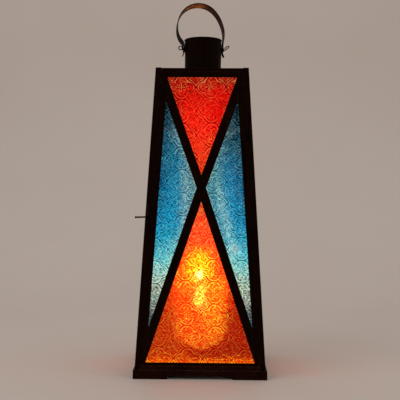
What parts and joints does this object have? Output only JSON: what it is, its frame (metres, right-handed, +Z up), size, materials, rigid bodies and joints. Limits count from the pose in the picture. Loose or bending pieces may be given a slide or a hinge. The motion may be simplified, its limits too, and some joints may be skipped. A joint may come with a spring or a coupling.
{
  "type": "metal candle lantern",
  "caption": "Tall tapered square metal lantern with coloured pressed-glass panes, crossed bars, a hinged door, a chimney, a strap handle and a pillar candle.",
  "frame": {"origin": "centre of the underside, on the plane the feet stand on", "axes": "+Z up; -Y out of the door; +X to the right of someone facing the door, where its hinges are"},
  "size_m": [0.17, 0.17, 0.4975],
  "materials": {
    "black_sheet": "satin black paint on folded sheet steel, slightly brown and rubbed at the edges",
    "dark_hardware": "thin black paint on steel wire, rivets and hinges, worn to grey-brown",
    "red_glass": "transparent red pressed glass with a raised medallion pattern",
    "orange_glass": "transparent orange pressed glass with a raised medallion pattern",
    "blue_glass": "transparent blue pressed glass with a raised medallion pattern",
    "wax": "smooth ivory candle wax, slightly translucent",
    "wick": "charred braided cotton"
  },
  "bodies": {
    "body": {"base_plinth": "black_sheet", "base_rivets": "dark_hardware", "bottom_frame": "black_sheet", "corner_post_front_left": "black_sheet", "corner_post_front_right": "black_sheet", "corner_post_back_right": "black_sheet", "corner_post_back_left": "black_sheet", "roof_plate": "black_sheet", "chimney_tube": "black_sheet", "chimney_flange": "black_sheet", "chimney_flange_rivets": "dark_hardware", "chimney_vent_disc": "black_sheet", "handle_split_pin_left": "dark_hardware", "handle_split_pin_right": "dark_hardware", "handle_washers": "dark_hardware", "right_panel_frame": "black_sheet", "right_cross_bars": "black_sheet", "right_glass_red": "red_glass", "right_glass_orange": "orange_glass", "right_glass_blue_a": "blue_glass", "right_glass_blue_b": "blue_glass", "right_glass_clips": "dark_hardware", "back_panel_frame": "black_sheet", "back_cross_bars": "black_sheet", "back_glass_red": "red_glass", "back_glass_orange": "orange_glass", "back_glass_blue_a": "blue_glass", "back_glass_blue_b": "blue_glass", "back_glass_clips": "dark_hardware", "left_panel_frame": "black_sheet", "left_cross_bars": "black_sheet", "left_glass_red": "red_glass", "left_glass_orange": "orange_glass", "left_glass_blue_a": "blue_glass", "left_glass_blue_b": "blue_glass", "left_glass_clips": "dark_hardware", "door_stop_strip": "black_sheet", "hinge_post_leaf_upper": "dark_hardware", "hinge_post_leaf_lower": "dark_hardware", "hinge_pin_upper": "dark_hardware", "hinge_pin_lower": "dark_hardware", "latch_barrel": "dark_hardware", "candle_cup": "dark_hardware"},
    "door": {"door_frame": "black_sheet", "door_cross_bar_long": "black_sheet", "door_cross_bar_halves": "black_sheet", "door_glass_red": "red_glass", "door_glass_orange": "orange_glass", "door_glass_blue_left": "blue_glass", "door_glass_blue_right": "blue_glass", "door_glass_clips": "dark_hardware", "hinge_door_leaf_upper": "dark_hardware", "hinge_door_leaf_lower": "dark_hardware", "hinge_rivets": "dark_hardware"},
    "latch": {"latch_wire": "dark_hardware"},
    "handle": {"handle_strap": "black_sheet"},
    "candle": {"candle": "wax", "candle_wick": "wick"}
  },
  "joints": [
    {"name": "door_hinge", "type": "hinge", "parent": "body", "child": "door", "pos_m": [0.06887, -0.07396, 0.19711], "axis": [-0.0587, 0.0587, 0.9965], "range_deg": [0, 110]},
    {"name": "latch_turn", "type": "hinge", "parent": "body", "child": "latch", "pos_m": [-0.06759, -0.07289, 0.21361], "axis": [0.0587, 0.0587, 0.9965], "range_deg": [0, 178]},
    {"name": "handle_swing", "type": "hinge", "parent": "body", "child": "handle", "pos_m": [0, 0, 0.432], "axis": [0.9877, 0.1564, 0], "range_deg": [-99, 120]},
    {"name": "candle_lift", "type": "slide", "parent": "body", "child": "candle", "axis": [0, 0, 1], "range_m": [0, 0.03]}
  ]
}
